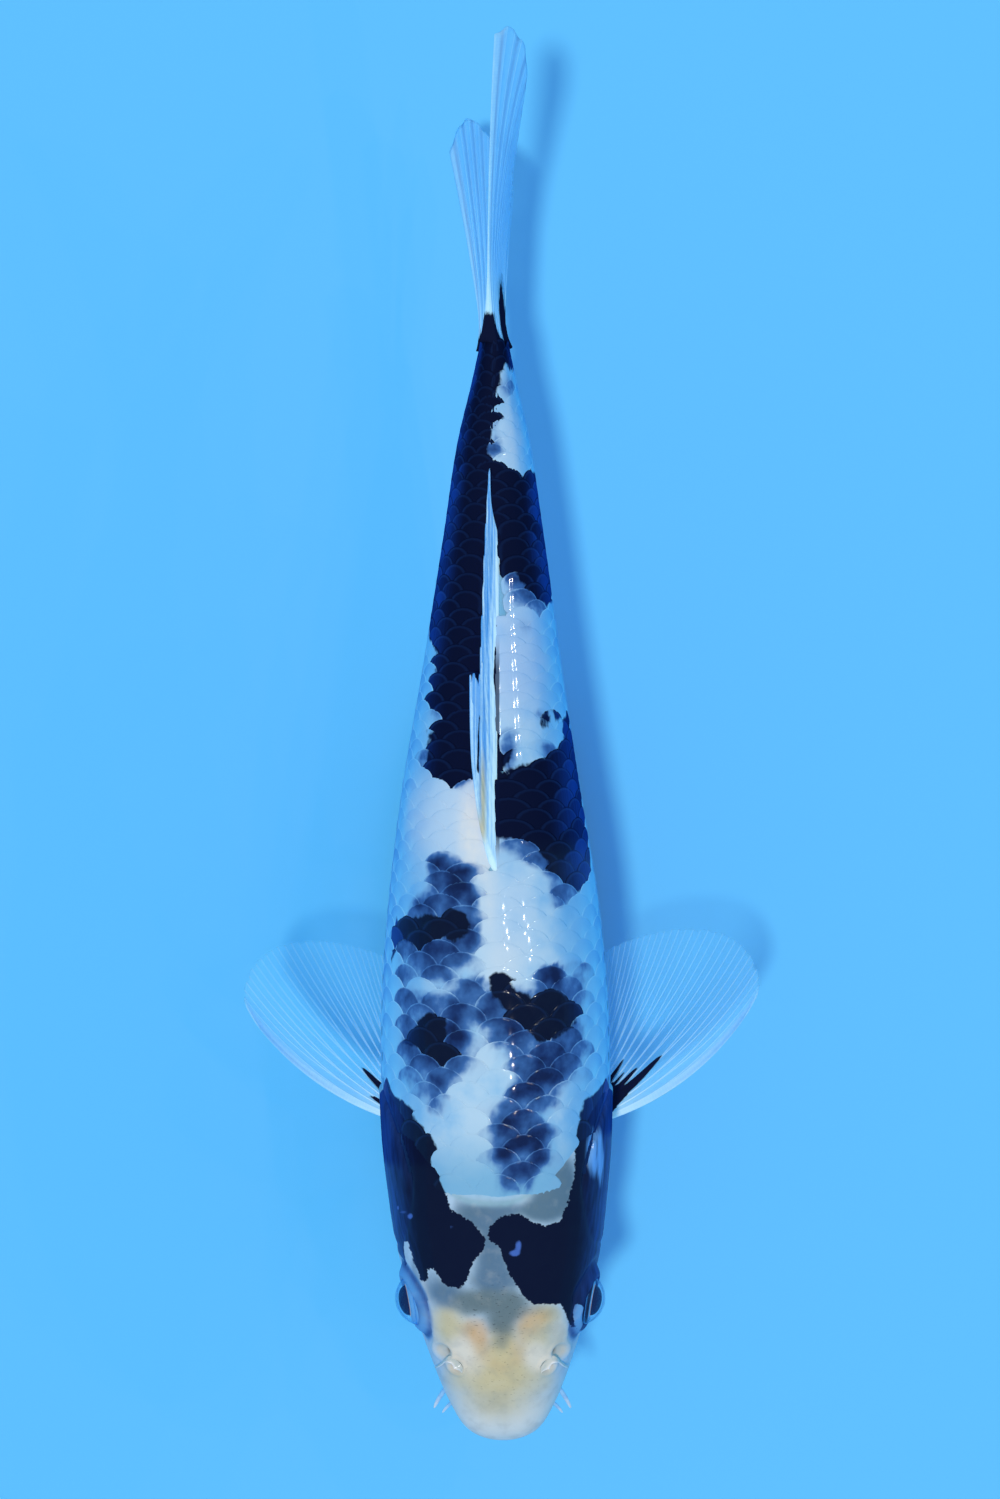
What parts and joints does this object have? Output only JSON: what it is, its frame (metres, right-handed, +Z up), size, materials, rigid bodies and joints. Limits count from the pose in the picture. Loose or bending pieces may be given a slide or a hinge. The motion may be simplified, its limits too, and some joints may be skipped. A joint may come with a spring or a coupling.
{
  "type": "koi carp on a display stand",
  "caption": "Life-size black and white koi swimming with pectoral fins spread and tail swept, held on two short rods over a slim oval base.",
  "frame": {"origin": "on the floor under the middle of the model's bounding box", "axes": "+Y from the snout towards the tail, +X to the fish's left, +Z up"},
  "size_m": [0.1482, 0.396, 0.1446],
  "materials": {
    "pearl_skin": "wet, pearly bluish white skin and scales",
    "black_skin": "wet, blue-black skin and scales",
    "fin": "translucent web between milky rays",
    "eye": "wet, clear domed eye",
    "stand_base": "satin black",
    "stand_rod": "satin steel"
  },
  "bodies": {
    "root": {"head": "pearl_skin", "lower_jaw": "pearl_skin", "trunk_front": "pearl_skin", "trunk_rear": "pearl_skin", "tail_stalk": "black_skin", "gill_cover_left": "black_skin", "gill_cover_right": "black_skin", "eye_left": "eye", "eye_right": "eye", "barbel_front_left": "pearl_skin", "barbel_front_right": "pearl_skin", "barbel_rear_left": "pearl_skin", "barbel_rear_right": "pearl_skin", "nostril_left": "pearl_skin", "nostril_right": "pearl_skin", "pectoral_fin_left": "fin", "pectoral_fin_right": "fin", "pelvic_fin_left": "fin", "pelvic_fin_right": "fin", "dorsal_fin": "fin", "anal_fin": "fin", "tail_fin_upper": "fin", "tail_fin_lower": "fin", "stand_base": "stand_base", "stand_rod_front": "stand_rod", "stand_rod_rear": "stand_rod"}
  },
  "joints": []
}
